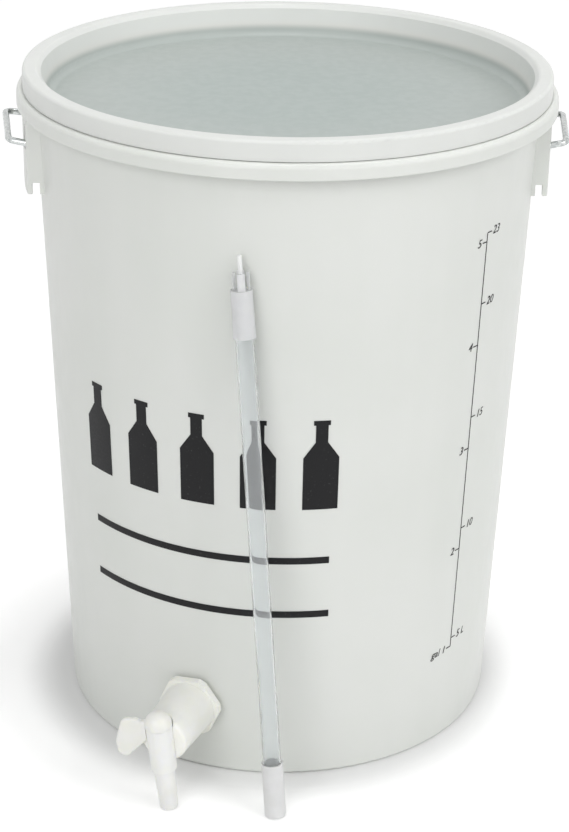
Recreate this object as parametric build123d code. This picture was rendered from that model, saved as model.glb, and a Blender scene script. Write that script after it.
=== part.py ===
from build123d import *
import os
from math import atan, cos, degrees, radians, sin, sqrt

# Bucket: a drafted round tub on a ring foot, in millimetres, with Z up from the table
BASE_RADIUS = 137.8
WALL_SLOPE = 0.0367
WALL = 2.2
RIM_TOP = 413.7
FLOOR = 2.6
FLOOR_ROUND = 6.0
FOOT_HEIGHT = 2.4
FOOT_WIDTH = 9.0
FOOT_ROUND = 3.0
BASE_RIB_COUNT = 12
BASE_RIB_THICKNESS = 1.8
BASE_RIB_DEPTH = 1.8
BASE_HUB_RADIUS = 16.0

# Collar under the lid
COLLAR_DROP = 9.7
COLLAR_DEPTH = 9.3
COLLAR_REACH = 10.6
COLLAR_WALL = 2.2
COLLAR_ROUND = 3.4
COLLAR_HEM_ROUND = 0.9
RIM_ROUND = 0.8
COLLAR_RIB_COUNT = 24
COLLAR_RIB_THICKNESS = 1.6

# Ears, one on each side, that hold the wire handles
EAR_STEP = 3.2
EAR_WALL = 3.0
EAR_HALF_WIDTH = 37.2
EAR_WEB = 3.2
EAR_DROP = 49.7
EAR_NOTCH_HEIGHT = 7.0
EAR_NOTCH_RIB = 2.3

# Lid
LID_WALL = 2.2
LID_SEAT_GAP = 0.1
LID_STEP = 3.9
LID_SKIRT_GAP = 0.4
LID_SKIRT_ROUND = 2.0
LID_PLUG_GAP = 0.45
LID_PLUG_TAPER = 3.4
LID_RECESS = 20.0
LID_LIP_ROUND = 2.6
LID_PAN_ROUND = 5.0

# Wire handles
WIRE_RADIUS = 2.0
HANDLE_RISE = 29.0
HANDLE_ARM = 19.2
HANDLE_SKEW = 3.4
HANDLE_BAR_HALF = 29.0
HANDLE_ARM_HALF = 31.6
HANDLE_PIN_GRIP = 2.2
HANDLE_KNEE = 2.6
HANDLE_CORNER = 5.0
HANDLE_REST_ANGLE = 8.0
HANDLE_TRAVEL = 38.0
PIN_CLEARANCE = 0.08
SLOT_CLEARANCE = 0.7

# Tap: X of its own frame points straight out of the wall and Z up along the sleeve
TAP_AZIMUTH = -114.2
TAP_HEIGHT = 47.5
TAP_TWIST = 5.8
TAP_REACH = 47.5
SHANK_RADIUS = 10.0
SHANK_LENGTH = 15.0
SHANK_CLEARANCE = 0.25
THREAD_CLEARANCE = 0.05
TAP_BORE = 5.6
WASHER_RADIUS = 15.5
WASHER_THICKNESS = 2.6
SEAT_GAP = 0.15
FLANGE_RADIUS = 19.8
FLANGE_FLAT = 18.2
FLANGE_THICKNESS = 4.4
BARREL_RADIUS = 16.8
BARREL_TIP_RADIUS = 15.2
BARREL_ROUND = 2.4
SLEEVE_RADIUS = 7.95
SLEEVE_WALL = 1.45
SLEEVE_BELOW = 18.0
SLEEVE_ABOVE = 10.5
NUT_FLANGE_RADIUS = 17.0
NUT_FLANGE_THICKNESS = 2.0
NUT_HEX_FLAT = 14.0
NUT_HEX_THICKNESS = 5.5

# Tap plug with its lever and spout
PLUG_CLEARANCE = 0.08
PLUG_BORE = 4.0
PORT_RADIUS = 3.5
PLUG_HEADROOM = 0.4
DOME_RADIUS = 8.3
DOME_SKIRT = 2.0
DOME_RISE = 8.0
PLUG_BLIND = 4.6
SPOUT_REACH = 45.0
SPOUT_TIP_RADIUS = 5.65
SPOUT_TIP_WALL = 1.1
SPOUT_STEP = 32.0
SPOUT_STEP_DEPTH = 0.2
SNAP_RISE = 0.45
SNAP_HEIGHT = 1.4
RING_RADIUS = 0.8
RING_ABOVE = 6.5
RING_BELOW = 8.0
RING_SIDE_GAP = 0.1
RING_GAP = 0.03
LEVER_THICKNESS = 3.6
LEVER_ROUND = 1.2
LEVER_GAP = 0.6
LEVER_LENGTH = 30.2
LEVER_TOP = 14.6
LEVER_LOW = 13.4

# Bottling wand: Z of its own frame runs up the tube from the foot
WAND_FOOT_AZIMUTH = -92.4
WAND_TOP_AZIMUTH = -101.1
WAND_FOOT_STAND = 43.2
WAND_WALL_GAP = 0.3
TUBE_RADIUS = 5.5
TUBE_WALL = 1.0
TUBE_LENGTH = 289.0
CONNECTOR_RADIUS = 6.5
CONNECTOR_LENGTH = 35.0
CONNECTOR_SOCKET = 6.4
CONNECTOR_BORE = 5.2
SOCKET_CLEARANCE = 0.05
HOUSING_FOOT_RADIUS = 6.5
HOUSING_TOP_RADIUS = 6.1
HOUSING_LENGTH = 26.0
HOUSING_SOCKET = 15.0
HOUSING_LEDGE = 1.2
HOUSING_LEDGE_BORE = 2.8
CHAMBER_RADIUS = 4.2
SEAT_THICKNESS = 2.8
SEAT_BORE = 2.0
HEAD_LIP_RADIUS = 6.3
HEAD_LIP_HEIGHT = 1.8
PRONG_HEIGHT = 10.0
PRONG_OUTER = 5.0
PRONG_INNER = 3.2
PRONG_SLOT = 3.2
PIN_RADIUS = 1.3
PIN_STAND = 10.0
DISC_RADIUS = 3.7
DISC_THICKNESS = 1.6
DISC_REST_GAP = 0.1
SEAL_RADIUS = 0.65
SEAL_GAP = 0.02

UP = (Align.CENTER, Align.CENTER, Align.MIN)
DRAFT = degrees(atan(WALL_SLOPE))


def wall_radius(z):
    return BASE_RADIUS + WALL_SLOPE * z


def inner_radius(z):
    return wall_radius(z) - WALL / cos(radians(DRAFT))


def at_azimuth(radius, azimuth, z):
    return Vector(radius * cos(radians(azimuth)), radius * sin(radians(azimuth)), z)


def chord(radius, half_width):
    return sqrt(radius**2 - half_width**2)


COLLAR_TOP = RIM_TOP - COLLAR_DROP
COLLAR_BOTTOM = COLLAR_TOP - COLLAR_DEPTH
COLLAR_RADIUS = wall_radius(COLLAR_TOP) + COLLAR_REACH
COLLAR_ROOF = COLLAR_TOP - COLLAR_WALL
COLLAR_INSIDE = COLLAR_RADIUS - COLLAR_WALL
EAR_RADIUS = COLLAR_RADIUS - EAR_STEP
EAR_INSIDE = EAR_RADIUS - EAR_WALL
EAR_BOTTOM = COLLAR_BOTTOM - EAR_DROP
POCKET_HALF = EAR_HALF_WIDTH - EAR_WEB
HINGE_Z = EAR_BOTTOM + HANDLE_RISE
HINGE_X = (chord(wall_radius(HINGE_Z), HANDLE_ARM_HALF) + chord(EAR_INSIDE, HANDLE_ARM_HALF)) / 2


def outline(points, rounds):
    """A closed flat outline whose corners, given by their number, are rounded."""
    face = make_face(Polyline(*points, close=True))
    for number, radius in rounds.items():
        corner = face.vertices().sort_by_distance((*points[number], 0))[0]
        face = fillet(corner, radius)
    return face


def turned(face):
    """The solid that a flat outline of radius and height sweeps about the Z axis."""
    return revolve(Plane.XZ * face, Axis.Z)


def wall_body(offset, low, high):
    """The drafted wall's outside, grown by an offset, as a solid from one height to another."""
    shape = Cone(wall_radius(low) + offset, wall_radius(high) + offset, high - low, align=UP)
    return Pos(0, 0, low) * shape


def rod_x(radius, start, end):
    return Pos(start, 0, 0) * Rot(0, 90, 0) * Cylinder(radius, end - start, align=UP)


def rod_z(radius, start, end):
    return Pos(0, 0, start) * Cylinder(radius, end - start, align=UP)


def bore_rod_z(outer, inner, start, end):
    return rod_z(outer, start, end) - rod_z(inner, start, end)


def tub():
    floor_top = FOOT_HEIGHT + FLOOR
    foot_inside = BASE_RADIUS - FOOT_WIDTH
    points = [
        (0, FOOT_HEIGHT),
        (foot_inside, FOOT_HEIGHT),
        (foot_inside, 0),
        (BASE_RADIUS, 0),
        (wall_radius(COLLAR_ROOF), COLLAR_ROOF),
        (COLLAR_INSIDE, COLLAR_ROOF),
        (COLLAR_INSIDE, COLLAR_BOTTOM),
        (COLLAR_RADIUS, COLLAR_BOTTOM),
        (COLLAR_RADIUS, COLLAR_TOP),
        (wall_radius(COLLAR_TOP), COLLAR_TOP),
        (wall_radius(RIM_TOP), RIM_TOP),
        (inner_radius(RIM_TOP), RIM_TOP),
        (inner_radius(floor_top), floor_top),
        (0, floor_top),
    ]
    rounds = {
        3: FOOT_ROUND,
        6: COLLAR_HEM_ROUND,
        7: COLLAR_HEM_ROUND,
        8: COLLAR_ROUND,
        10: RIM_ROUND,
        11: RIM_ROUND,
        12: FLOOR_ROUND,
    }
    return turned(outline(points, rounds))


def base_ribs():
    length = BASE_RADIUS - FOOT_WIDTH / 2 - BASE_HUB_RADIUS
    rib = Pos(BASE_HUB_RADIUS, 0, FOOT_HEIGHT - BASE_RIB_DEPTH) * Box(
        length, BASE_RIB_THICKNESS, BASE_RIB_DEPTH + FLOOR / 2, align=(Align.MIN, Align.CENTER, Align.MIN)
    )
    return [Rot(0, 0, n * 360 / BASE_RIB_COUNT) * rib for n in range(BASE_RIB_COUNT)]


def collar_ribs():
    """Thin gussets under the collar, left out where the ears are."""
    start = wall_radius(COLLAR_BOTTOM) - WALL / 2
    rib = Pos(start, 0, COLLAR_BOTTOM + COLLAR_WALL) * Box(
        COLLAR_INSIDE + COLLAR_WALL / 2 - start,
        COLLAR_RIB_THICKNESS,
        COLLAR_ROOF - COLLAR_BOTTOM - COLLAR_WALL / 2,
        align=(Align.MIN, Align.CENTER, Align.MIN),
    )
    step = 360 / COLLAR_RIB_COUNT
    angles = [(n + 0.5) * step for n in range(COLLAR_RIB_COUNT)]
    clear = [a for a in angles if abs(sin(radians(a))) * COLLAR_RADIUS > EAR_HALF_WIDTH + EAR_WEB]
    return [Rot(0, 0, angle) * rib for angle in clear]


def ear():
    """The +X ear: a curved plate on two webs, open below, with two slots for the wire's arms."""
    height = COLLAR_ROOF - EAR_BOTTOM
    start = chord(inner_radius(EAR_BOTTOM), EAR_HALF_WIDTH)
    block = Pos(start, 0, EAR_BOTTOM) * Box(
        COLLAR_RADIUS - start, 2 * EAR_HALF_WIDTH, height, align=(Align.MIN, Align.CENTER, Align.MIN)
    )
    shell = block & rod_z(EAR_RADIUS, EAR_BOTTOM, COLLAR_ROOF)
    shell += block & rod_z(COLLAR_RADIUS - COLLAR_WALL / 2, COLLAR_BOTTOM, COLLAR_ROOF)
    pocket = Pos(start, 0, EAR_BOTTOM) * Box(
        EAR_RADIUS, 2 * POCKET_HALF, height, align=(Align.MIN, Align.CENTER, Align.MIN)
    )
    shell -= pocket & rod_z(EAR_INSIDE, EAR_BOTTOM, COLLAR_ROOF)
    shell -= wall_body(-WALL / 2, EAR_BOTTOM, COLLAR_ROOF)
    for side in (-1, 1):
        shell -= Pos(0, side * (EAR_HALF_WIDTH - EAR_WEB / 2), 0) * web_notch()
        shell -= Pos(HINGE_X, side * POCKET_HALF, HINGE_Z) * pin_socket(side)
        shell -= arm_slot(side)
    return shell


def web_notch():
    middle = EAR_HALF_WIDTH - EAR_WEB / 2
    start = chord(wall_radius(EAR_BOTTOM), middle) + EAR_NOTCH_RIB
    end = chord(EAR_INSIDE, middle)
    return Pos(start, 0, EAR_BOTTOM) * Box(
        end - start, 2 * EAR_WEB, EAR_NOTCH_HEIGHT, align=(Align.MIN, Align.CENTER, Align.MIN)
    )


def pin_socket(side):
    hole = Cylinder(WIRE_RADIUS + PIN_CLEARANCE, 2 * (HANDLE_PIN_GRIP + PIN_CLEARANCE))
    return Rot(side * 90, 0, 0) * hole


def arm_slot(side):
    """A slot that the arm swings through, from its rest up to the raised handle."""
    reach = EAR_RADIUS - HINGE_X
    half = WIRE_RADIUS + SLOT_CLEARANCE
    low = HINGE_Z - half
    top_angle = radians(HANDLE_REST_ANGLE + HANDLE_TRAVEL)
    high = HINGE_Z + reach * sin(top_angle) / cos(top_angle) + half
    inner = HANDLE_ARM_HALF - (HANDLE_ARM_HALF - HANDLE_BAR_HALF) * reach / HANDLE_ARM - half
    start = chord(EAR_INSIDE, POCKET_HALF) - EAR_WALL
    width = POCKET_HALF - inner
    return Pos(start, side * (inner + width / 2), low) * Box(
        reach + EAR_WALL, width, high - low, align=(Align.MIN, Align.CENTER, Align.MIN)
    )


def make_bucket():
    body = tub()
    right = ear()
    body += [right, mirror(right, about=Plane.YZ)]
    body += collar_ribs()
    body += base_ribs()
    return body - TAP * rod_x(SHANK_RADIUS + SHANK_CLEARANCE, -4 * WALL, 4 * WALL)


def make_lid():
    """A channel over the rim, a tapered plug wall inside it and a flat pan."""
    roof = RIM_TOP + LID_SEAT_GAP
    top = roof + LID_WALL
    pan_top = top - LID_RECESS
    pan_low = pan_top - LID_WALL
    skirt = COLLAR_RADIUS - LID_STEP
    plug = inner_radius(RIM_TOP) - LID_PLUG_GAP
    plug_low = plug - LID_PLUG_TAPER
    points = [
        (0, pan_low),
        (plug_low, pan_low),
        (plug, roof),
        (skirt - LID_WALL, roof),
        (skirt - LID_WALL, COLLAR_TOP + LID_SKIRT_GAP),
        (skirt, COLLAR_TOP + LID_SKIRT_GAP),
        (skirt, top),
        (plug - LID_WALL + LID_LIP_ROUND, top),
        (plug - LID_WALL, top - LID_LIP_ROUND),
        (plug_low - LID_WALL, pan_top),
        (0, pan_top),
    ]
    rounds = {1: LID_PAN_ROUND, 6: LID_SKIRT_ROUND, 7: LID_LIP_ROUND, 9: LID_PAN_ROUND}
    return turned(outline(points, rounds))


def make_handle():
    """The +X handle: a D of bent wire with short pins, drawn about its hinge and then tilted."""
    pin_end = POCKET_HALF + HANDLE_PIN_GRIP
    path = FilletPolyline(
        (0, -pin_end, 0),
        (0, -HANDLE_ARM_HALF, 0),
        (HANDLE_ARM - HANDLE_SKEW, -HANDLE_BAR_HALF, 0),
        (HANDLE_ARM + HANDLE_SKEW, HANDLE_BAR_HALF, 0),
        (0, HANDLE_ARM_HALF, 0),
        (0, pin_end, 0),
        radius=[HANDLE_KNEE, HANDLE_CORNER, HANDLE_CORNER, HANDLE_KNEE],
    )
    section = Plane(origin=(0, -pin_end, 0), z_dir=(0, 1, 0)) * Circle(WIRE_RADIUS)
    wire = sweep(section, path=path)
    return Pos(HINGE_X, 0, HINGE_Z) * Rot(0, -HANDLE_REST_ANGLE, 0) * wire


TAP = (
    Pos(at_azimuth(wall_radius(TAP_HEIGHT), TAP_AZIMUTH, TAP_HEIGHT))
    * Rot(0, 0, TAP_AZIMUTH)
    * Rot(0, DRAFT, 0)
    * Rot(TAP_TWIST, 0, 0)
)
FLANGE_END = WASHER_THICKNESS + FLANGE_THICKNESS
NUT_START = -WALL - WASHER_THICKNESS
PLUG_RADIUS = SLEEVE_RADIUS - SLEEVE_WALL - PLUG_CLEARANCE


def hexagon_x(flat, start, end):
    """A six-sided bar along X with corners to each side."""
    prism = extrude(Plane.YZ * RegularPolygon(flat, 6, major_radius=False), end - start)
    return Pos(start, 0, 0) * prism


def make_tap_body():
    barrel_end = TAP_REACH - DOME_RADIUS - LEVER_GAP
    shank = rod_x(SHANK_RADIUS, -SHANK_LENGTH, FLANGE_END)
    flange = rod_x(FLANGE_RADIUS, WASHER_THICKNESS, FLANGE_END)
    flange &= hexagon_x(FLANGE_FLAT, WASHER_THICKNESS, FLANGE_END)
    barrel = Cone(BARREL_RADIUS, BARREL_TIP_RADIUS, barrel_end - FLANGE_END, align=UP)
    barrel = fillet(barrel.edges().sort_by(Axis.Z)[-1], BARREL_ROUND)
    body = shank + flange + Pos(FLANGE_END, 0, 0) * Rot(0, 90, 0) * barrel
    body += rod_x(SLEEVE_RADIUS, FLANGE_END, TAP_REACH)
    body += Pos(TAP_REACH, 0, 0) * rod_z(SLEEVE_RADIUS, -SLEEVE_BELOW, SLEEVE_ABOVE)
    body -= rod_x(TAP_BORE, -SHANK_LENGTH, barrel_end - BARREL_ROUND)
    body -= rod_x(PORT_RADIUS + PLUG_CLEARANCE, 0, TAP_REACH)
    body -= Pos(TAP_REACH, 0, 0) * rod_z(SLEEVE_RADIUS - SLEEVE_WALL, -SLEEVE_BELOW, SLEEVE_ABOVE)
    return TAP * body


def make_tap_outer_washer():
    ring = rod_x(WASHER_RADIUS, -WASHER_THICKNESS, WASHER_THICKNESS)
    ring -= rod_x(SHANK_RADIUS + THREAD_CLEARANCE, -WASHER_THICKNESS, WASHER_THICKNESS)
    return TAP * ring - wall_body(SEAT_GAP, 0, 2 * TAP_HEIGHT)


def make_tap_inner_washer():
    ring = rod_x(WASHER_RADIUS, NUT_START, 0)
    ring -= rod_x(SHANK_RADIUS + THREAD_CLEARANCE, NUT_START, 0)
    return (TAP * ring) & wall_body(-WALL / cos(radians(DRAFT)) - SEAT_GAP, 0, 2 * TAP_HEIGHT)


def make_tap_back_nut():
    middle = NUT_START - NUT_FLANGE_THICKNESS
    end = middle - NUT_HEX_THICKNESS
    nut = rod_x(NUT_FLANGE_RADIUS, middle, NUT_START)
    nut += hexagon_x(NUT_HEX_FLAT, end, middle)
    return TAP * (nut - rod_x(SHANK_RADIUS + THREAD_CLEARANCE, end, NUT_START))


def ring_seats():
    return (RING_ABOVE, -RING_BELOW)


def plug_core():
    """The hollow plug and spout, turned about the sleeve's axis, under a domed cap."""
    cap = SLEEVE_ABOVE + PLUG_HEADROOM
    snap_top = -SLEEVE_BELOW - PLUG_HEADROOM
    snap_low = snap_top - SNAP_HEIGHT
    dome_start = cap + DOME_SKIRT
    side = Polyline(
        (0, PLUG_BLIND),
        (PLUG_BORE, PLUG_BLIND),
        (PLUG_BORE, -SPOUT_STEP),
        (SPOUT_TIP_RADIUS - SPOUT_TIP_WALL, -SPOUT_REACH),
        (SPOUT_TIP_RADIUS, -SPOUT_REACH),
        (PLUG_RADIUS - 2 * SPOUT_STEP_DEPTH, -SPOUT_STEP),
        (PLUG_RADIUS - SPOUT_STEP_DEPTH, -SPOUT_STEP),
        (PLUG_RADIUS, snap_low - SNAP_RISE),
        (PLUG_RADIUS + SNAP_RISE, snap_low),
        (PLUG_RADIUS + SNAP_RISE, snap_top),
        (PLUG_RADIUS, snap_top),
        (PLUG_RADIUS, cap),
        (DOME_RADIUS, cap),
        (DOME_RADIUS, dome_start),
    )
    dome = EllipticalCenterArc((0, dome_start), DOME_RADIUS, DOME_RISE, start_angle=0, arc_size=90)
    axis_line = Line((0, dome_start + DOME_RISE), (0, PLUG_BLIND))
    return turned(make_face(side + dome + axis_line))


def lever():
    """The flat paddle: it leaves the dome to one side and droops beside the sleeve."""
    cap = SLEEVE_ABOVE + PLUG_HEADROOM
    root = SLEEVE_RADIUS + LEVER_GAP
    points = [
        (0, cap),
        (-root, cap),
        (-root, cap - LEVER_LOW * 0.75),
        (-LEVER_LENGTH * 0.78, -LEVER_LOW),
        (-LEVER_LENGTH * 0.97, -LEVER_LOW * 0.85),
        (-LEVER_LENGTH, -LEVER_LOW * 0.22),
        (-LEVER_LENGTH * 0.81, LEVER_TOP * 0.9),
        (-LEVER_LENGTH * 0.52, LEVER_TOP),
        (-LEVER_LENGTH * 0.38, LEVER_TOP * 0.9),
        (0, cap + DOME_RISE * 0.8),
    ]
    rounds = {3: 4.0, 4: 4.0, 5: 12.0, 6: 6.0, 7: 3.0, 8: 4.0}
    blade = extrude(Plane.YZ * outline(points, rounds), LEVER_THICKNESS / 2, both=True)
    far = [edge for edge in blade.edges() if edge.center().Y < -root - LEVER_ROUND]
    rims = [edge for edge in far if abs(abs(edge.center().X) - LEVER_THICKNESS / 2) < 0.01]
    return fillet(rims, LEVER_ROUND)


def make_tap_plug():
    plug = plug_core()
    floor_radius = PLUG_RADIUS + RING_GAP - 2 * RING_RADIUS
    width = 2 * (RING_RADIUS + RING_SIDE_GAP)
    for seat in ring_seats():
        plug -= bore_rod_z(SLEEVE_RADIUS, floor_radius, seat - width / 2, seat + width / 2)
    plug -= Rot(-90, 0, 0) * Cylinder(PORT_RADIUS, SLEEVE_RADIUS, align=UP)
    return TAP * Pos(TAP_REACH, 0, 0) * (plug + lever())


def make_plug_ring(seat):
    major = PLUG_RADIUS + RING_GAP - RING_RADIUS
    return TAP * Pos(TAP_REACH, 0, seat) * Torus(major, RING_RADIUS)


HOUSING_START = CONNECTOR_LENGTH - CONNECTOR_SOCKET + TUBE_LENGTH - HOUSING_SOCKET
LEDGE_START = HOUSING_START + HOUSING_SOCKET
CHAMBER_START = LEDGE_START + HOUSING_LEDGE
HEAD_START = HOUSING_START + HOUSING_LENGTH
SEAT_START = HEAD_START - SEAT_THICKNESS
LIP_END = HEAD_START + HEAD_LIP_HEIGHT
DISC_START = CHAMBER_START + DISC_REST_GAP
DISC_END = DISC_START + DISC_THICKNESS


def side_radius(z):
    """How far the bucket reaches at a height: its wall, or its collar from there up."""
    return wall_radius(z) if z < COLLAR_BOTTOM else COLLAR_RADIUS


def wand_frame():
    """The wand's leaning frame: its foot stands on the table and its head rests near the wall."""
    foot_stand = BASE_RADIUS + WAND_FOOT_STAND
    foot = at_azimuth(foot_stand, WAND_FOOT_AZIMUTH, 0)
    tip = LIP_END + PRONG_HEIGHT
    stations = {
        LIP_END: HEAD_LIP_RADIUS,
        min(LIP_END, COLLAR_TOP): HEAD_LIP_RADIUS,
        tip: PRONG_OUTER,
        tip + PIN_STAND: PIN_RADIUS,
    }
    rise = 1.0
    for _ in range(6):
        stand = max(
            foot_stand + (side_radius(rise * at) + radius + WAND_WALL_GAP - foot_stand) * LIP_END / at
            for at, radius in stations.items()
        )
        top = at_azimuth(stand, WAND_TOP_AZIMUTH, rise * LIP_END)
        rise = sqrt(1 - ((top.X - foot.X) ** 2 + (top.Y - foot.Y) ** 2) / LIP_END**2)
    lean = top - foot
    lift = CONNECTOR_RADIUS * sqrt(1 - (lean.Z / lean.length) ** 2)
    return Plane(origin=foot + Vector(0, 0, lift), x_dir=(1, 0, 0), z_dir=lean)


WAND = wand_frame()


def make_wand_connector():
    """A soft sleeve with an inside shoulder that stops the tube."""
    shoulder = CONNECTOR_LENGTH - CONNECTOR_SOCKET
    sleeve = rod_z(CONNECTOR_RADIUS, 0, CONNECTOR_LENGTH) - rod_z(CONNECTOR_BORE, 0, shoulder)
    return WAND * (sleeve - rod_z(TUBE_RADIUS + SOCKET_CLEARANCE, shoulder, CONNECTOR_LENGTH))


def make_wand_tube():
    start = CONNECTOR_LENGTH - CONNECTOR_SOCKET
    return WAND * bore_rod_z(TUBE_RADIUS, TUBE_RADIUS - TUBE_WALL, start, start + TUBE_LENGTH)


def prongs():
    """Four prongs that guard the pin and let the beer out between them."""
    ring = bore_rod_z(PRONG_OUTER, PRONG_INNER, LIP_END, LIP_END + PRONG_HEIGHT)
    for angle in (45, 135):
        slot = Box(4 * PRONG_OUTER, PRONG_SLOT, PRONG_HEIGHT, align=UP)
        ring -= Pos(0, 0, LIP_END) * Rot(0, 0, angle) * slot
    return ring


def make_wand_valve_housing():
    shell = Pos(0, 0, HOUSING_START) * Cone(HOUSING_FOOT_RADIUS, HOUSING_TOP_RADIUS, HOUSING_LENGTH, align=UP)
    shell += rod_z(HEAD_LIP_RADIUS, HEAD_START, LIP_END)
    shell += prongs()
    shell -= rod_z(TUBE_RADIUS + SOCKET_CLEARANCE, HOUSING_START, LEDGE_START)
    shell -= rod_z(HOUSING_LEDGE_BORE, LEDGE_START, CHAMBER_START)
    shell -= rod_z(CHAMBER_RADIUS, CHAMBER_START, SEAT_START)
    shell -= rod_z(SEAT_BORE, SEAT_START, LIP_END)
    return WAND * shell


def make_wand_valve_pin():
    stem = rod_z(PIN_RADIUS, DISC_START, LIP_END + PRONG_HEIGHT + PIN_STAND)
    stem = fillet(stem.edges().sort_by(Axis.Z)[-1], PIN_RADIUS * 0.6)
    return WAND * (stem + rod_z(DISC_RADIUS, DISC_START, DISC_END))


def make_wand_valve_seal():
    major = PIN_RADIUS + SEAL_GAP + SEAL_RADIUS
    return WAND * Pos(0, 0, DISC_END + SEAL_GAP + SEAL_RADIUS) * Torus(major, SEAL_RADIUS)


def main():
    right_handle = make_handle()
    pieces = {
        "bucket": make_bucket(),
        "lid": make_lid(),
        "right_handle": right_handle,
        "left_handle": mirror(right_handle, about=Plane.YZ),
        "tap_body": make_tap_body(),
        "tap_outer_washer": make_tap_outer_washer(),
        "tap_inner_washer": make_tap_inner_washer(),
        "tap_back_nut": make_tap_back_nut(),
        "tap_plug": make_tap_plug(),
        "tap_plug_ring_upper": make_plug_ring(RING_ABOVE),
        "tap_plug_ring_lower": make_plug_ring(-RING_BELOW),
        "wand_connector": make_wand_connector(),
        "wand_tube": make_wand_tube(),
        "wand_valve_housing": make_wand_valve_housing(),
        "wand_valve_pin": make_wand_valve_pin(),
        "wand_valve_seal": make_wand_valve_seal(),
    }
    os.makedirs("parts", exist_ok=True)
    for name, shape in pieces.items():
        export_step(shape, f"parts/{name}.step")


if __name__ == "__main__":
    main()
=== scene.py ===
"""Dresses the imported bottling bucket: finishes, print, mouldings, studio and camera."""

import logging
import math
from dataclasses import dataclass, field
from enum import Enum
from typing import Any, Iterable, Sequence

import bpy
from mathutils import Matrix, Vector


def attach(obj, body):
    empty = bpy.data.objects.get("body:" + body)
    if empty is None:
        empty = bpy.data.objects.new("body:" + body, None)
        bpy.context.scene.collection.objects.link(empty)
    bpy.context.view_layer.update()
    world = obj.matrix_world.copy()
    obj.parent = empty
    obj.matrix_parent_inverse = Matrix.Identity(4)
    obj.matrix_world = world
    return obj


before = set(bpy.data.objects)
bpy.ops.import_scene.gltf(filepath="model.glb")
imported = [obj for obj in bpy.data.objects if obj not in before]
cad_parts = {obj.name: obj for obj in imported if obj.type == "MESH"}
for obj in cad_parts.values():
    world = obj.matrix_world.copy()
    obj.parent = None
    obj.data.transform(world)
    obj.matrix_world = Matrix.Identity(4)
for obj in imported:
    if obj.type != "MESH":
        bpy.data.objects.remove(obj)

Color = tuple[float, float, float]
Point = tuple[float, float, float]
Range = tuple[float, float]
Socket = bpy.types.NodeSocket

LOG = logging.getLogger("bottling_bucket")
MM = 0.001
SAME_PLACE = 1e-7       # vertices closer than this, in metres, are merged
SMOOTH_ANGLE = 35.0     # edges sharper than this many degrees stay sharp
WHITE: Color = (1.0, 1.0, 1.0)
EVEN: Point = (1.0, 1.0, 1.0)
ORIGIN: Point = (0.0, 0.0, 0.0)
UNIT: Range = (0.0, 1.0)
FALLING: Range = (1.0, 0.0)
MOST: Range = (0.3, 0.7)        # nearly all of a noise pattern's values lie in here
MIX_AMOUNT, MIX_FIRST, MIX_SECOND, MIX_RESULT = 0, 6, 7, 2      # the Mix node's colour sockets


class Side(Enum):
    """Which side of a graduated line a mark stands on."""

    LEFT = -1
    RIGHT = 1


def deselect_all() -> None:
    """Leaves object mode with nothing selected."""
    if bpy.context.mode != "OBJECT":
        bpy.ops.object.mode_set(mode="OBJECT")
    bpy.ops.object.select_all(action="DESELECT")


def activate(piece: bpy.types.Object) -> None:
    """Makes a piece the only selected and the active object.

    Args:
        piece: The object to work on.
    """
    deselect_all()
    piece.select_set(True)
    bpy.context.view_layer.objects.active = piece


def apply_place(piece: bpy.types.Object) -> None:
    """Moves an object's place, turn and scale into its mesh."""
    activate(piece)
    bpy.ops.object.transform_apply(location=True, rotation=True, scale=True)


def apply_modifier(piece: bpy.types.Object, kind: str, **settings: Any) -> None:
    """Adds a modifier with its settings and applies it.

    Args:
        piece: The object that gets it.
        kind: Blender's modifier type.
        settings: The modifier's properties.
    """
    activate(piece)
    modifier = piece.modifiers.new(kind.lower(), kind)
    for name, value in settings.items():
        setattr(modifier, name, value)
    bpy.ops.object.modifier_apply(modifier=modifier.name)


def settle(piece: bpy.types.Object, name: str) -> bpy.types.Object:
    """Names a finished piece, applies its place and smooths what isn't an edge.

    Args:
        piece: The finished object.
        name: Its name, which its mesh takes too.

    Returns:
        The same object at the origin, unturned and unscaled.
    """
    apply_place(piece)
    bpy.ops.object.shade_smooth_by_angle(angle=math.radians(SMOOTH_ANGLE))
    piece.name = name
    piece.data.name = name
    return piece


def cover(piece: bpy.types.Object, material: bpy.types.Material) -> None:
    """Gives an object its one material."""
    piece.data.materials.clear()
    piece.data.materials.append(material)


def dress(nodes: Iterable[str], material: bpy.types.Material) -> None:
    """Gives CAD nodes their material.

    Args:
        nodes: The nodes' names.
        material: What they are made of.
    """
    for name in nodes:
        cover(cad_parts[name], material)
        LOG.info("dressed %s", name)


def fix_to_bucket(
    piece: bpy.types.Object, name: str, material: bpy.types.Material
) -> None:
    """Finishes a new piece and makes it part of the bucket's body.

    Args:
        piece: The shaped object.
        name: Its name.
        material: What it is made of.
    """
    settle(piece, name)
    cover(piece, material)
    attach(piece, "bucket")
    LOG.info("built %s", name)


def join(pieces: Sequence[bpy.types.Object]) -> bpy.types.Object:
    """Joins several objects into the first one.

    Args:
        pieces: The objects.

    Returns:
        The first object, which holds them all.
    """
    activate(pieces[0])
    for piece in pieces:
        piece.select_set(True)
    bpy.ops.object.join()
    return bpy.context.active_object


@dataclass(frozen=True)
class Noise:
    """A soft pattern: its cycles per metre, its detail and its stretch along the axes."""

    scale: float
    detail: float = 2.0
    stretch: Point = EVEN


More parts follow.
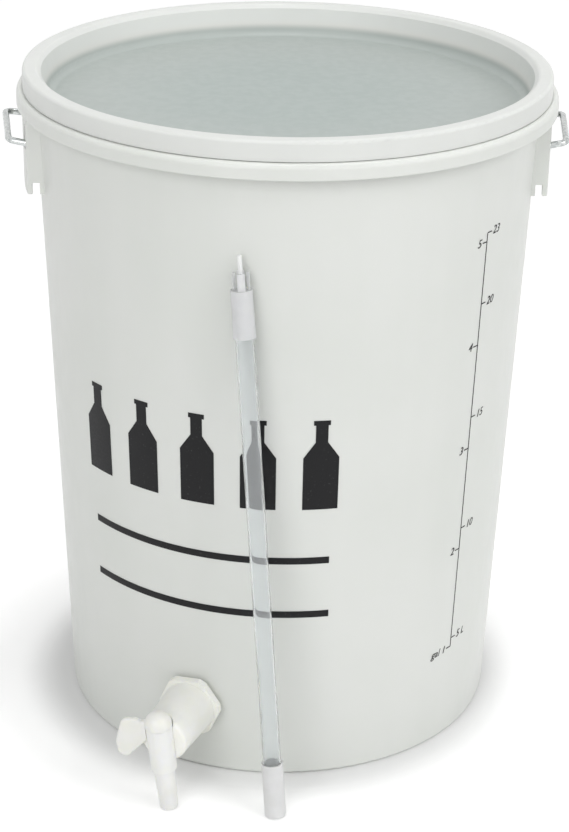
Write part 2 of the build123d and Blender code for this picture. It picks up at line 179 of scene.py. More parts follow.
class Nodes:
    """A node tree, with short ways to add and link its nodes."""

    def __init__(self, tree: bpy.types.NodeTree) -> None:
        """Clears a tree and takes it over.

        Args:
            tree: The tree to build in.
        """
        self.tree = tree
        self.tree.nodes.clear()

    def fill(self, socket: Socket, value: Any) -> None:
        """Links an output to a socket, or sets the socket's own value.

        Args:
            socket: The input.
            value: An output, a number, a vector or a colour.
        """
        if isinstance(value, Socket):
            self.tree.links.new(value, socket)
        elif socket.type == "RGBA":
            socket.default_value = (*value, 1.0)
        else:
            socket.default_value = value

    def add(
        self, kind: str, inputs: dict[str | int, Any] | None = None, **settings: Any
    ) -> bpy.types.Node:
        """Adds a node, sets its options and fills its inputs.

        Args:
            kind: Blender's node type.
            inputs: Socket name or number to a value or another node's output.
            settings: The node's own options.

        Returns:
            The new node.
        """
        node = self.tree.nodes.new(kind)
        for option, value in settings.items():
            setattr(node, option, value)
        for socket, value in (inputs or {}).items():
            self.fill(node.inputs[socket], value)
        return node

    def math(self, operation: str, first: Any, second: Any = 0.0, third: Any = 0.0) -> Socket:
        """Works out one arithmetic step.

        Args:
            operation: Blender's name for the step.
            first: A number or output.
            second: A number or output.
            third: A number or output, which only some steps use.

        Returns:
            The result's output.
        """
        values = {0: first, 1: second, 2: third}
        return self.add("ShaderNodeMath", values, operation=operation).outputs[0]

    def remap(self, value: Any, span: Range, low: Any, high: Any, **settings: Any) -> Socket:
        """Turns a value within a span into one between two others.

        Args:
            value: A number or output.
            span: Where the change starts and ends.
            low: The result at the start.
            high: The result at the end.
            settings: The node's own options.

        Returns:
            The result's output.
        """
        inputs = {
            "Value": value, "From Min": span[0], "From Max": span[1], "To Min": low, "To Max": high
        }
        return self.add("ShaderNodeMapRange", inputs, **settings).outputs[0]

    def fade(self, value: Any, span: Range, result: Range = UNIT) -> Socket:
        """A smooth change over a span of values, from one result to the other."""
        return self.remap(value, span, *result, interpolation_type="SMOOTHSTEP")

    def seen(self) -> Socket:
        """Marks what the camera sees, plainly, in a reflection or through clear plastic.

        Returns:
            The output that is 1 there and 0 for all other light.
        """
        path = self.add("ShaderNodeLightPath").outputs
        straight = self.math("MAXIMUM", path["Is Camera Ray"], path["Is Glossy Ray"])
        return self.math("MAXIMUM", straight, path["Is Transmission Ray"])


class Graph(Nodes):
    """The node tree of one material, with its surface shader and its patterns."""

    def __init__(self, name: str) -> None:
        """Makes a material that holds only a surface shader and an output.

        Args:
            name: The material's name.
        """
        self.material = bpy.data.materials.new(name)
        self.material.use_nodes = True
        super().__init__(self.material.node_tree)
        self.shader = self.add("ShaderNodeBsdfPrincipled")
        self.output = self.add("ShaderNodeOutputMaterial", {"Surface": self.shader.outputs[0]})

    def surface(self, **values: Any) -> None:
        """Sets or links the surface shader's sockets, with _ for each space in a name."""
        for name, value in values.items():
            self.fill(self.shader.inputs[name.replace("_", " ")], value)

    def place(self, scale: Point = EVEN, centre: Point = ORIGIN) -> Socket:
        """Reads the Object coordinates.

        Args:
            scale: The stretch of each axis.
            centre: The point that becomes zero.

        Returns:
            The coordinates' output.
        """
        coordinates = self.add("ShaderNodeTexCoord").outputs["Object"]
        moved = tuple(-middle * stretch for middle, stretch in zip(centre, scale))
        inputs = {"Vector": coordinates, "Location": moved, "Scale": scale}
        return self.add("ShaderNodeMapping", inputs).outputs[0]

    def noise(self, pattern: Noise) -> Socket:
        """Draws a soft pattern on the surface.

        Args:
            pattern: Its scale, detail and stretch.

        Returns:
            The output of its values, from 0 to 1.
        """
        place = self.place(pattern.stretch)
        inputs = {"Vector": place, "Scale": pattern.scale, "Detail": pattern.detail}
        return self.add("ShaderNodeTexNoise", inputs).outputs[0]

    def blend(self, amount: Any, first: Any, second: Any) -> Socket:
        """Mixes two colours.

        Args:
            amount: How much of the second there is, as a number or output.
            first: A colour or colour output.
            second: A colour or colour output.

        Returns:
            The mixed colour's output.
        """
        inputs = {MIX_AMOUNT: amount, MIX_FIRST: first, MIX_SECOND: second}
        return self.add("ShaderNodeMix", inputs, data_type="RGBA").outputs[MIX_RESULT]

    def bump(self, height: Any, distance: float) -> Socket:
        """A normal raised by a height of 0 to 1 over a distance in metres."""
        return self.add("ShaderNodeBump", {"Height": height, "Distance": distance}).outputs[0]

    def split(self, centre: Point = ORIGIN) -> tuple[Socket, Socket, Socket]:
        """The three Object coordinates, from a centre, as numbers."""
        node = self.add("ShaderNodeSeparateXYZ", {0: self.place(centre=centre)})
        return node.outputs[0], node.outputs[1], node.outputs[2]

    def radius(self, centre: Point = ORIGIN) -> Socket:
        """Measures the distance from the upright line through a point.

        Args:
            centre: The point.

        Returns:
            The distance's output.
        """
        x, y, _ = self.split(centre)
        squares = self.math("MULTIPLY_ADD", y, y, self.math("MULTIPLY", x, x))
        return self.math("SQRT", squares)


@dataclass(frozen=True)
class MilkyPlastic:
    """Cloudy food-grade plastic: soft mottling, faint flow lines and a fine satin grain."""

    name: str
    color: Color
    shade: Color
    clouds: Noise = Noise(9.0, 3.0)
    flow: Noise = Noise(34.0, 2.0, (1.0, 1.0, 0.06))
    flow_share: float = 0.35
    mottle_span: Range = (0.35, 0.65)
    scuffs: Noise = Noise(160.0, 4.0, (1.0, 1.0, 0.4))
    roughness: Range = (0.31, 0.43)
    gloss: float = 0.28
    grain: Noise = Noise(2600.0, 2.0)
    waves: Noise = Noise(26.0, 1.0)
    wave_height: float = 5.0
    relief: float = 0.00002
    scatter: float = 0.12
    glow: Color = (0.9, 0.95, 0.8)
    depth: float = 0.004

    def graph(self) -> Graph:
        """Draws the finish's node tree.

        Returns:
            The tree, with its material.
        """
        graph = Graph(self.name)
        clouds = graph.math("MULTIPLY", graph.noise(self.clouds), 1.0 - self.flow_share)
        mottle = graph.math("MULTIPLY_ADD", graph.noise(self.flow), self.flow_share, clouds)
        grain = graph.noise(self.grain)
        relief = graph.math("MULTIPLY_ADD", graph.noise(self.waves), self.wave_height, grain)
        graph.surface(
            Base_Color=graph.blend(graph.fade(mottle, self.mottle_span), self.shade, self.color),
            Roughness=graph.fade(graph.noise(self.scuffs), MOST, self.roughness),
            Specular_IOR_Level=self.gloss,
            Normal=graph.bump(relief, self.relief),
            Subsurface_Weight=self.scatter,
            Subsurface_Radius=self.glow,
            Subsurface_Scale=self.depth,
        )
        return graph

    def material(self) -> bpy.types.Material:
        """The finished material."""
        return self.graph().material


@dataclass(frozen=True)
class PanPlastic(MilkyPlastic):
    """The lid's plastic: its thin pan over the dark inside is greener and darker than its rim."""

    pan: Color = (0.395, 0.45, 0.43)
    pan_edge: Color = (0.445, 0.485, 0.465)
    pan_middle: Range = (0.04, 0.142)
    pan_border: Range = (0.1468, 0.1488)
    pan_rise: Range = (0.3995, 0.4045)
    # painted shade: a beige tint blended over the lower part of the recess's wall, inside the rim
    painted_shade_tint: Color = (0.72, 0.685, 0.645)
    painted_shade_rise: Range = (0.3995, 0.4075)
    painted_shade_border: Range = (0.1515, 0.153)
    painted_shade_share: float = 0.55

    def material(self) -> bpy.types.Material:
        """Adds the pan's colour inside the rim and painted shade, a beige tint, low on the
        recess's wall.

        Returns:
            The finished material.
        """
        graph = self.graph()
        base = graph.shader.inputs["Base Color"].links[0].from_socket
        _, _, height = graph.split()
        radius = graph.radius()
        # painted shade: the beige tint fades in towards the foot of the recess's wall
        low = graph.fade(height, self.painted_shade_rise, FALLING)
        within = graph.fade(radius, self.painted_shade_border, (self.painted_shade_share, 0.0))
        rim = graph.blend(graph.math("MULTIPLY", low, within), base, self.painted_shade_tint)
        middle = graph.blend(graph.fade(radius, self.pan_middle), self.pan, self.pan_edge)
        inside = graph.fade(radius, self.pan_border, FALLING)
        floor = graph.math("MULTIPLY", inside, graph.fade(height, self.pan_rise, FALLING))
        graph.surface(Base_Color=graph.blend(floor, rim, middle))
        return graph.material


@dataclass(frozen=True)
class ZincWire:
    """Bright zinc-plated wire with drawn lines, a duller bloom and darker spots."""

    name: str = "zinc_wire"
    bright: Color = (0.60, 0.62, 0.61)
    dull: Color = (0.44, 0.46, 0.46)
    bloom: Noise = Noise(420.0, 4.0)
    bloom_span: Range = (0.38, 0.62)
    roughness: Range = (0.26, 0.16)
    lines: Noise = Noise(2400.0, 1.0, (1.0, 0.04, 1.0))
    relief: float = 0.000003

    def material(self) -> bpy.types.Material:
        """Draws the finish.

        Returns:
            The finished material.
        """
        graph = Graph(self.name)
        bloom = graph.noise(self.bloom)
        graph.surface(
            Base_Color=graph.blend(graph.fade(bloom, self.bloom_span), self.dull, self.bright),
            Metallic=1.0,
            Roughness=graph.fade(bloom, MOST, self.roughness),
            Normal=graph.bump(graph.noise(self.lines), self.relief),
        )
        return graph.material


@dataclass(frozen=True)
class TapPlastic:
    """Warm white nylon-like plastic, glossy and uneven, that glows a little in the shade."""

    name: str
    color: Color = (0.925, 0.925, 0.89)
    shade: Color = (0.90, 0.90, 0.845)
    clouds: Noise = Noise(70.0, 3.0)
    sink: Noise = Noise(210.0, 1.0)
    sink_height: float = 1.5
    roughness: Range = (0.3, 0.36)
    grain: Noise = Noise(3000.0, 2.0)
    relief: float = 0.000004
    scatter: float = 0.25
    glow: Color = (1.0, 0.9, 0.45)
    depth: float = 0.004

    def material(self) -> bpy.types.Material:
        """Draws the finish.

        Returns:
            The finished material.
        """
        graph = Graph(self.name)
        clouds = graph.fade(graph.noise(self.clouds), MOST)
        sink = graph.noise(self.sink)
        relief = graph.math("MULTIPLY_ADD", sink, self.sink_height, graph.noise(self.grain))
        graph.surface(
            Base_Color=graph.blend(clouds, self.shade, self.color),
            Roughness=graph.fade(sink, MOST, self.roughness),
            Normal=graph.bump(relief, self.relief),
            Subsurface_Weight=self.scatter,
            Subsurface_Radius=self.glow,
            Subsurface_Scale=self.depth,
        )
        return graph.material


@dataclass(frozen=True)
class ClearTube:
    """Rigid clear plastic with a cool tint, fine draw lines and a trace of haze."""

    name: str = "clear_tube"
    tint: Color = (0.915, 0.935, 0.943)
    through: float = 0.93
    bend: float = 1.49
    haze: Noise = Noise(120.0, 3.0, (1.0, 1.0, 0.15))
    roughness: Range = (0.0, 0.02)
    lines: Noise = Noise(900.0, 1.0, (1.0, 1.0, 0.02))
    relief: float = 0.000001

    def material(self) -> bpy.types.Material:
        """Draws the finish.

        Returns:
            The finished material.
        """
        graph = Graph(self.name)
        graph.surface(
            Base_Color=self.tint,
            Roughness=graph.fade(graph.noise(self.haze), MOST, self.roughness),
            IOR=self.bend,
            Transmission_Weight=self.through,
            Normal=graph.bump(graph.noise(self.lines), self.relief),
        )
        return graph.material


@dataclass(frozen=True)
class CloudyVinyl:
    """Soft see-through plastic gone cloudy, which lets some of the light through."""

    name: str
    color: Color = (0.96, 0.965, 0.96)
    through: float = 0.32
    lighter: float = 1.04
    bend: float = 1.5
    clouds: Noise = Noise(130.0, 3.0)
    cloud_span: Range = (0.35, 0.65)
    roughness: Range = (0.3, 0.38)
    grain: Noise = Noise(2200.0, 2.0)
    relief: float = 0.000004
    scatter: float = 0.2
    glow: Color = (1.0, 1.0, 0.9)
    depth: float = 0.003

    def material(self) -> bpy.types.Material:
        """Draws the finish.

        Returns:
            The finished material.
        """
        graph = Graph(self.name)
        clouds = graph.noise(self.clouds)
        light = tuple(min(1.0, value * self.lighter) for value in self.color)
        graph.surface(
            Base_Color=graph.blend(graph.fade(clouds, self.cloud_span), self.color, light),
            Roughness=graph.fade(clouds, MOST, self.roughness),
            IOR=self.bend,
            Transmission_Weight=self.through,
            Subsurface_Weight=self.scatter,
            Subsurface_Radius=self.glow,
            Subsurface_Scale=self.depth,
            Normal=graph.bump(graph.noise(self.grain), self.relief),
        )
        return graph.material


@dataclass(frozen=True)
class SoftRubber:
    """Matte rubber with a powdery bloom and fine grain."""

    name: str
    color: Color
    bloom: Color
    powder: Noise = Noise(380.0, 4.0)
    powder_span: Range = (0.42, 0.68)
    roughness: Range = (0.5, 0.72)
    grain: Noise = Noise(3200.0, 2.0)
    relief: float = 0.00003

    def material(self) -> bpy.types.Material:
        """Draws the finish.

        Returns:
            The finished material.
        """
        graph = Graph(self.name)
        powder = graph.noise(self.powder)
        graph.surface(
            Base_Color=graph.blend(graph.fade(powder, self.powder_span), self.color, self.bloom),
            Roughness=graph.fade(powder, MOST, self.roughness),
            Normal=graph.bump(graph.noise(self.grain), self.relief),
        )
        return graph.material


@dataclass(frozen=True)
class PrintInk:
    """Screen-printed ink, a little uneven and worn at pinholes."""

    name: str = "print_ink"
    ink: Color = (0.010, 0.010, 0.011)
    thin: Color = (0.035, 0.036, 0.036)
    cover: Noise = Noise(700.0, 4.0)
    thin_span: Range = (0.6, 0.75)
    roughness: Range = (0.36, 0.5)
    gloss: float = 0.2
    weave: Noise = Noise(3800.0, 1.0)
    relief: float = 0.000004

    def material(self) -> bpy.types.Material:
        """Draws the finish.

        Returns:
            The finished material.
        """
        graph = Graph(self.name)
        coat = graph.noise(self.cover)
        graph.surface(
            Base_Color=graph.blend(graph.fade(coat, self.thin_span), self.ink, self.thin),
            Roughness=graph.fade(coat, MOST, self.roughness),
            Specular_IOR_Level=self.gloss,
            Normal=graph.bump(graph.noise(self.weave), self.relief),
        )
        return graph.material


@dataclass(frozen=True)
class Wall:
    """The bucket's drafted outer wall, which carries the print and the tap."""

    base_radius: float = 0.1378
    slope: float = 0.0367

    def radius(self, height: float) -> float:
        """The wall's radius at a height."""
        return self.base_radius + self.slope * height

    def at(self, azimuth: float, height: float, lift: float = 0.0) -> Vector:
        """Finds a point on the wall.

        Args:
            azimuth: Its direction from the axis, in radians.
            height: Its height in metres.
            lift: How far it stands off the wall, in metres.

        Returns:
            The point.
        """
        radius = self.radius(height) + lift
        return Vector((radius * math.cos(azimuth), radius * math.sin(azimuth), height))

    def wrap(self, piece: bpy.types.Object, azimuth: float, height: float, lift: float) -> None:
        """Lays a flat piece, drawn in X and Y about its origin, on the wall.

        Args:
            piece: The flat mesh.
            azimuth: Where its origin goes, in degrees.
            height: Where its origin goes, in metres.
            lift: How far it stands off the wall, in metres.
        """
        upright = 1.0 / math.hypot(1.0, self.slope)
        for vertex in piece.data.vertices:
            turn = math.radians(azimuth) + vertex.co.x / self.radius(height)
            vertex.co = self.at(turn, height + vertex.co.y * upright, lift)


@dataclass
class WallPrint:
    """Everything printed on the wall in one black ink."""

    wall: Wall
    film: float = 0.00008
    gap: float = 0.00003
    strip: float = 0.0035
    slant: float = 0.25
    letter_steps: int = 4
    marks: list[bpy.types.Object] = field(default_factory=list)

    def cut_strips(self, piece: bpy.types.Object) -> None:
        """Cuts a flat piece into upright strips, so that it can follow the round wall.

        Args:
            piece: The flat mesh, drawn in X and Y.
        """
        across = [vertex.co.x for vertex in piece.data.vertices]
        low, high = min(across), max(across)
        activate(piece)
        bpy.ops.object.mode_set(mode="EDIT")
        for step in range(1, math.ceil((high - low) / self.strip)):
            cut = (low + step * self.strip, 0.0, 0.0)
            bpy.ops.mesh.select_all(action="SELECT")
            bpy.ops.mesh.bisect(plane_co=cut, plane_no=(1.0, 0.0, 0.0))
        bpy.ops.object.mode_set(mode="OBJECT")

    def lay(self, piece: bpy.types.Object, azimuth: float, height: float) -> None:
        """Lays a flat drawing on the wall.

        Args:
            piece: The drawing.
            azimuth: Where its origin goes, in degrees.
            height: Where its origin goes, in metres.
        """
        apply_place(piece)
        self.cut_strips(piece)
        self.wall.wrap(piece, azimuth, height, self.gap)
        self.marks.append(piece)

    def bar(
        self, azimuth: float, height: float, width: float, tall: float, shift: float = 0.0
    ) -> None:
        """Prints an upright or level bar.

        Args:
            azimuth: Its anchor on the wall, in degrees.
            height: Its anchor's height, in metres.
            width: Its size along the wall.
            tall: Its size up the wall.
            shift: How far its middle is from the anchor, along the wall.
        """
        deselect_all()
        bpy.ops.mesh.primitive_plane_add(size=1.0, location=(shift, 0.0, 0.0))
        piece = bpy.context.active_object
        piece.scale = (width, tall, 1.0)
        self.lay(piece, azimuth, height)

    def words(
        self, text: str, azimuth: float, height: float, size: float, shift: float, side: Side
    ) -> None:
        """Prints a short slanted number or unit beside its anchor.

        Args:
            text: What it says.
            azimuth: Its anchor on the wall, in degrees.
            height: Its anchor's height, in metres.
            size: The letters' size in metres.
            shift: The gap between anchor and text.
            side: Which side of the anchor it stands on.
        """
        deselect_all()
        bpy.ops.object.text_add(location=(side.value * shift, 0.0, 0.0))
        letters = bpy.context.active_object
        letters.data.body = text
        letters.data.size = size
        letters.data.shear = self.slant
        letters.data.align_x = "RIGHT" if side is Side.LEFT else "LEFT"
        letters.data.align_y = "CENTER"
        letters.data.resolution_u = self.letter_steps
        bpy.ops.object.convert(target="MESH")
        self.lay(bpy.context.active_object, azimuth, height)

    def finish(self, ink: bpy.types.Material) -> None:
        """Joins the marks, gives the ink its thickness and puts it on the bucket.

        Args:
            ink: The print's material.
        """
        piece = join(self.marks)
        bpy.ops.object.mode_set(mode="EDIT")
        bpy.ops.mesh.select_all(action="SELECT")
        bpy.ops.mesh.remove_doubles(threshold=SAME_PLACE)
        bpy.ops.object.mode_set(mode="OBJECT")
        apply_modifier(piece, "SOLIDIFY", thickness=self.film, offset=1.0)
        fix_to_bucket(piece, "bucket_print", ink)


@dataclass
class Graduations:
    """The litre and gallon scale: one upright line with ticks and slanted numbers."""

    azimuth: float = -41.7
    litres: dict[str, float] = field(
        default_factory=lambda: {"5 L": 71.6, "10": 150.4, "15": 226.0, "20": 299.5, "23": 343.9}
    )
    gallons: dict[str, float] = field(
        default_factory=lambda: {"gal 1": 65.5, "2": 136.2, "3": 205.3, "4": 273.2, "5": 338.4}
    )
    line: float = 0.0007
    tick: float = 0.0042
    size: float = 0.0072
    gap: float = 0.0012

    def draw(self, sheet: WallPrint) -> None:
        """Prints the scale.

        Args:
            sheet: The print that takes it.
        """
        heights = [value * MM for value in (*self.litres.values(), *self.gallons.values())]
        low, high = min(heights), max(heights)
        beside = self.tick + self.gap
        sheet.bar(self.azimuth, (low + high) / 2, self.line, high - low)
        for side, column in ((Side.RIGHT, self.litres), (Side.LEFT, self.gallons)):
            middle = side.value * self.tick / 2
            for text, height in column.items():
                sheet.bar(self.azimuth, height * MM, self.tick, self.line, middle)
                sheet.words(text, self.azimuth, height * MM, self.size, beside, side)


@dataclass
class BottleRow:
    """A plain printed ornament: a row of bottle outlines over two level bands."""

    azimuth: float = -112.2
    height: float = 0.188
    count: int = 5
    pitch: float = 0.0365
    half_width: float = 0.0105
    neck_half: float = 0.0036
    shoulder: float = 0.034
    neck: float = 0.044
    top: float = 0.058
    lip: float = 0.003
    lip_share: float = 1.35
    least_rise: float = 1e-5
    edge_tolerance: float = 1e-6
    bands: tuple[float, float] = (0.1535, 0.1165)
    band: tuple[float, float] = (0.158, 0.0045)

    def bottle(self) -> bpy.types.Object:
        """Draws one flat bottle: a body that narrows into a neck with a lip.

        Returns:
            The drawing, with its foot's middle at the origin.
        """
        deselect_all()
        bpy.ops.mesh.primitive_plane_add(size=1.0, location=(0.0, self.shoulder / 2, 0.0))
        piece = bpy.context.active_object
        piece.scale = (2 * self.half_width, self.shoulder, 1.0)
        apply_place(piece)
        steps = (
            (self.neck_half / self.half_width, self.neck - self.shoulder),
            (1.0, self.top - self.neck - self.lip),
            (self.lip_share, 0.0),
            (1.0, self.lip),
        )
        for share, rise in steps:
            self.raise_top(piece, share, rise)
        return piece

    def raise_top(self, piece: bpy.types.Object, share: float, rise: float) -> None:
        """Extrudes a drawing's top edge upwards and then changes its width.

        Args:
            piece: The drawing.
            share: The new width as a share of the old.
            rise: How far the edge goes up, in metres.
        """
        vertices = piece.data.vertices
        activate(piece)
        top = max(vertex.co.y for vertex in vertices)
        bpy.ops.object.mode_set(mode="EDIT")
        bpy.ops.mesh.select_mode(type="EDGE")
        bpy.ops.mesh.select_all(action="DESELECT")
        bpy.ops.object.mode_set(mode="OBJECT")
        for edge in piece.data.edges:
            lowest = min(vertices[end].co.y for end in edge.vertices)
            edge.select = top - lowest < self.edge_tolerance
        bpy.ops.object.mode_set(mode="EDIT")
        move = {"value": (0.0, max(rise, self.least_rise), 0.0)}
        bpy.ops.mesh.extrude_region_move(TRANSFORM_OT_translate=move)
        bpy.ops.transform.resize(value=(share, 1.0, 1.0))
        bpy.ops.object.mode_set(mode="OBJECT")

    def draw(self, sheet: WallPrint) -> None:
        """Prints the row and the bands.

        Args:
            sheet: The print that takes them.
        """
        for place in range(self.count):
            piece = self.bottle()
            piece.location.x = (place - (self.count - 1) / 2) * self.pitch
            sheet.lay(piece, self.azimuth, self.height)
        for height in self.bands:
            sheet.bar(self.azimuth, height, *self.band)


@dataclass
class Bucket:
    """The bucket with its print."""

    wall: Wall
    plastic: MilkyPlastic = MilkyPlastic(
        "bucket_plastic", (0.755, 0.77, 0.74), (0.725, 0.745, 0.71)
    )
    ink: PrintInk = PrintInk()

    def build(self) -> None:
        """Dresses the bucket and prints the scale and the ornament on it."""
        dress(["bucket"], self.plastic.material())
        sheet = WallPrint(self.wall)
        Graduations().draw(sheet)
        BottleRow().draw(sheet)
        sheet.finish(self.ink.material())


@dataclass
class Lid:
    """The lid."""

    plastic: PanPlastic = PanPlastic("lid_plastic", (0.76, 0.775, 0.75), (0.74, 0.755, 0.73))

    def build(self) -> None:
        """Dresses the lid."""
        dress(["lid"], self.plastic.material())


@dataclass
class Handles:
    """The two wire handles."""

    wire: ZincWire = ZincWire()

    def build(self) -> None:
        """Dresses both handles."""
        dress(["left_handle", "right_handle"], self.wire.material())


@dataclass
class TapBarrelEnd:
    """The tap barrel's end, drawn up to the sleeve and hollowed out round the turning dome."""

    wall: Wall
    azimuth: float = -114.2
    height: float = 0.0475
    twist: float = 5.8
    start: float = 0.0335
    end: float = 0.045
    start_radius: float = 0.01551
    end_radius: float = 0.01493
    facets: int = 96
    edge: float = 0.0022
    edge_steps: int = 5
    edge_angle: float = 1.0
    sleeve_at: float = 0.0475
    dome_room: float = 0.0087
    dome_facets: int = 64
    dome_foot: float = 0.0104
    dome_rise: float = 0.012

    def place(self) -> Matrix:
        """Finds the tap's own frame: X points out of the wall and Z up along the sleeve.

        Returns:
            The turn and place that take the tap's frame to the part's.
        """
        turn = math.radians(self.azimuth)
        seat = Matrix.Translation(self.wall.at(turn, self.height)) @ Matrix.Rotation(turn, 4, "Z")
        lean = Matrix.Rotation(math.atan(self.wall.slope), 4, "Y")
        return seat @ lean @ Matrix.Rotation(math.radians(self.twist), 4, "X")

    def cone(self) -> bpy.types.Object:
        """Makes the plain tapered end with softened edges.

        Returns:
            The piece, in the tap's frame.
        """
        deselect_all()
        bpy.ops.mesh.primitive_cone_add(
            vertices=self.facets,
            radius1=self.start_radius,
            radius2=self.end_radius,
            depth=self.end - self.start,
            location=((self.start + self.end) / 2, 0.0, 0.0),
            rotation=(0.0, math.pi / 2, 0.0),
        )
        piece = bpy.context.active_object
        apply_place(piece)
        apply_modifier(
            piece,
            "BEVEL",
            width=self.edge,
            segments=self.edge_steps,
            limit_method="ANGLE",
            angle_limit=self.edge_angle,
        )
        return piece

    def clearance(self) -> bpy.types.Object:
        """Makes the room that the dome turns in.

        Returns:
            The room as a solid, in the tap's frame.
        """
        deselect_all()
        bpy.ops.mesh.primitive_cylinder_add(
            vertices=self.dome_facets,
            radius=self.dome_room,
            depth=self.dome_rise,
            location=(self.sleeve_at, 0.0, self.dome_foot + self.dome_rise / 2),
        )
        return bpy.context.active_object

    def build(self, plastic: bpy.types.Material) -> None:
        """Makes the piece and puts it on the bucket.

        Args:
            plastic: The tap's material.
        """
        piece = self.cone()
        room = self.clearance()
        apply_modifier(piece, "BOOLEAN", operation="DIFFERENCE", object=room, solver="EXACT")
        bpy.data.objects.remove(room)
        piece.matrix_world = self.place()
        fix_to_bucket(piece, "tap_barrel_end", plastic)


@dataclass
class LeverTap:
    """The lever tap with its washers and rings."""

    wall: Wall
    plastic: TapPlastic = TapPlastic("tap_plastic")
    plug: TapPlastic = TapPlastic("plug_plastic", (0.89, 0.89, 0.86), (0.865, 0.865, 0.815))
    washers: SoftRubber = SoftRubber("washer_rubber", (0.60, 0.58, 0.50), (0.68, 0.66, 0.60))

    def build(self, rings: bpy.types.Material) -> None:
        """Dresses the tap's pieces and adds the end of its barrel.

        Args:
            rings: The rubber of the plug's rings.
        """
        plastic = self.plastic.material()
        dress(["tap_body", "tap_back_nut"], plastic)
        dress(["tap_plug"], self.plug.material())
        dress(["tap_outer_washer", "tap_inner_washer"], self.washers.material())
        dress(["tap_plug_ring_upper", "tap_plug_ring_lower"], rings)
        TapBarrelEnd(self.wall).build(plastic)


@dataclass
class BottlingWand:
    """The bottling wand with its valve."""

    connector: CloudyVinyl = CloudyVinyl("connector_vinyl")
    tube: ClearTube = ClearTube()
    housing: CloudyVinyl = CloudyVinyl("valve_plastic", (0.90, 0.91, 0.915), 0.35)
    pin: CloudyVinyl = CloudyVinyl("pin_plastic", (0.90, 0.91, 0.905), 0.1)

    def build(self, seal: bpy.types.Material) -> None:
        """Dresses the wand's pieces.

        Args:
            seal: The rubber of the valve's seal.
        """
        dress(["wand_connector"], self.connector.material())
        dress(["wand_tube"], self.tube.material())
        dress(["wand_valve_housing"], self.housing.material())
        dress(["wand_valve_pin"], self.pin.material())
        dress(["wand_valve_seal"], seal)


@dataclass(frozen=True)
class Lamp:
    """A square soft lamp: where it stands and its side in metres, and its power in watts."""

    name: str
    place: Point
    side: float
    power: float

    def add(self, target: Point) -> None:
        """Adds the lamp.

        Args:
            target: The point that it faces.
        """
        deselect_all()
        bpy.ops.object.light_add(type="AREA", location=self.place)
        lamp = bpy.context.active_object
        lamp.name = self.name
        lamp.data.size = self.side
        lamp.data.energy = self.power
        aim = Vector(target) - Vector(self.place)
        lamp.rotation_euler = aim.to_track_quat("-Z", "Y").to_euler()


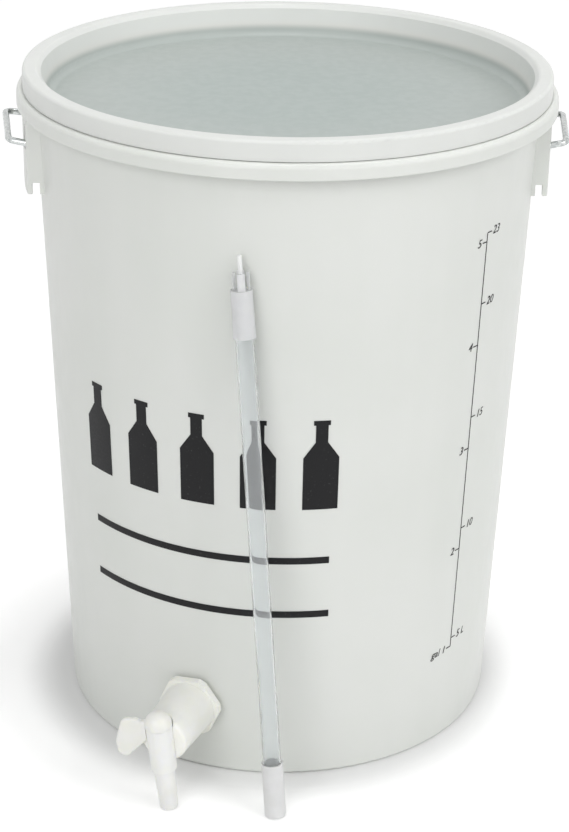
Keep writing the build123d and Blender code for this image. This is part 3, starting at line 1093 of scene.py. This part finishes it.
@dataclass
class Studio:
    """Pale floor with a painted shadow round the base, soft lamps and the camera at the
    photograph's viewing angle.
    """

    lamps: tuple[Lamp, ...] = (
        Lamp("key", (2.0, -1.5, 1.8), 1.5, 19.0),
        Lamp("fill", (-1.1, -2.2, 1.5), 1.5, 19.8),
        Lamp("top", (0.06, 0.08, 2.6), 0.25, 12.0),
    )
    lamp_target: Point = (0.0, 0.0, 0.2)
    floor_side: float = 24.0
    floor_color: Color = (0.88, 0.88, 0.88)
    floor_shade: float = 0.985
    floor_roughness: float = 0.9
    floor_grain: Noise = Noise(5.0, 2.0)
    # painted shadow: the camera-only glow rises from none at the first radius to full at the
    # second, round this point, a soft dark ring round the base
    shadow_ring_middle: Point = (-0.006, -0.004, 0.0)
    shadow_ring_span: Range = (0.137, 0.172)
    glow: Range = (0.0, 0.34)
    far_span: Range = (0.8, 3.5)
    far_glow: Range = (0.0, 0.2)
    world_left: float = 0.39
    world_right: float = 0.72
    camera_place: Point = (-0.0527, -1.2581, 0.7542)
    pitch: float = 24.41
    yaw: float = 2.466
    roll: float = 1.007
    focal: float = 2137.8
    picture_height: int = 832
    sensor: float = 36.0
    nearest: float = 0.01

    def build(self) -> None:
        """Adds floor, world, lamps and camera."""
        bpy.context.scene.view_settings.view_transform = "Standard"
        self.floor()
        self.world()
        for lamp in self.lamps:
            lamp.add(self.lamp_target)
        self.camera()
        LOG.info("set up the studio")

    def floor(self) -> None:
        """Adds a wide pale floor that shows white and keeps the object's shadow, with a painted
        shadow where its glow fades out round the base.
        """
        deselect_all()
        bpy.ops.mesh.primitive_plane_add(size=self.floor_side, location=ORIGIN)
        plane = settle(bpy.context.active_object, "floor")
        graph = Graph("studio_floor")
        shade = tuple(value * self.floor_shade for value in self.floor_color)
        graph.surface(
            Base_Color=graph.blend(graph.noise(self.floor_grain), shade, self.floor_color),
            Roughness=self.floor_roughness,
            Specular_IOR_Level=0.0,
        )
        away = graph.radius(self.shadow_ring_middle)
        # painted shadow: less glow close round the base
        glow_with_painted_shadow = graph.fade(away, self.shadow_ring_span, self.glow)
        level = graph.math("ADD", glow_with_painted_shadow, graph.fade(away, self.far_span, self.far_glow))
        strength = graph.math("MULTIPLY", graph.seen(), level)
        glow = graph.add("ShaderNodeEmission", {"Strength": strength})
        both = graph.add("ShaderNodeAddShader", {0: graph.shader.outputs[0], 1: glow.outputs[0]})
        graph.fill(graph.output.inputs["Surface"], both.outputs[0])
        cover(plane, graph.material)

    def world(self) -> None:
        """Adds a world that shows white and lights softly, a little more from the right."""
        world = bpy.data.worlds.new("studio")
        bpy.context.scene.world = world
        world.use_nodes = True
        nodes = Nodes(world.node_tree)
        direction = nodes.add("ShaderNodeTexCoord").outputs["Generated"]
        across = nodes.add("ShaderNodeSeparateXYZ", {0: direction}).outputs[0]
        light = nodes.remap(across, (-1.0, 1.0), self.world_left, self.world_right)
        level = nodes.remap(nodes.seen(), UNIT, light, 1.0)
        sky = nodes.add("ShaderNodeBackground", {"Color": WHITE, "Strength": level})
        nodes.add("ShaderNodeOutputWorld", {"Surface": sky.outputs[0]})

    def camera(self) -> None:
        """Adds the photograph's camera, with its sensor's long side upright."""
        pitch, yaw, roll = (math.radians(value) for value in (self.pitch, self.yaw, self.roll))
        flat = math.cos(pitch)
        ahead = Vector((math.sin(yaw) * flat, math.cos(yaw) * flat, -math.sin(pitch)))
        level = Vector((math.cos(yaw), -math.sin(yaw), 0.0))
        above = level.cross(ahead)
        right = math.cos(roll) * level + math.sin(roll) * above
        up = math.cos(roll) * above - math.sin(roll) * level
        turn = Matrix((right, up, -ahead)).transposed().to_4x4()
        data = bpy.data.cameras.new("camera")
        data.sensor_fit = "VERTICAL"
        data.sensor_height = self.sensor
        data.lens = self.focal / self.picture_height * self.sensor
        data.clip_start = self.nearest
        camera = bpy.data.objects.new("camera", data)
        bpy.context.scene.collection.objects.link(camera)
        camera.matrix_world = Matrix.Translation(self.camera_place) @ turn
        bpy.context.scene.camera = camera


def main() -> None:
    logging.basicConfig(level=logging.INFO, format="%(name)s: %(message)s")
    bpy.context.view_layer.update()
    wall = Wall()
    rings = SoftRubber("ring_rubber", (0.03, 0.03, 0.03), (0.09, 0.09, 0.09)).material()
    Lid().build()
    Handles().build()
    LeverTap(wall).build(rings)
    BottlingWand().build(rings)
    Bucket(wall).build()
    Studio().build()


if __name__ == "__main__":
    main()
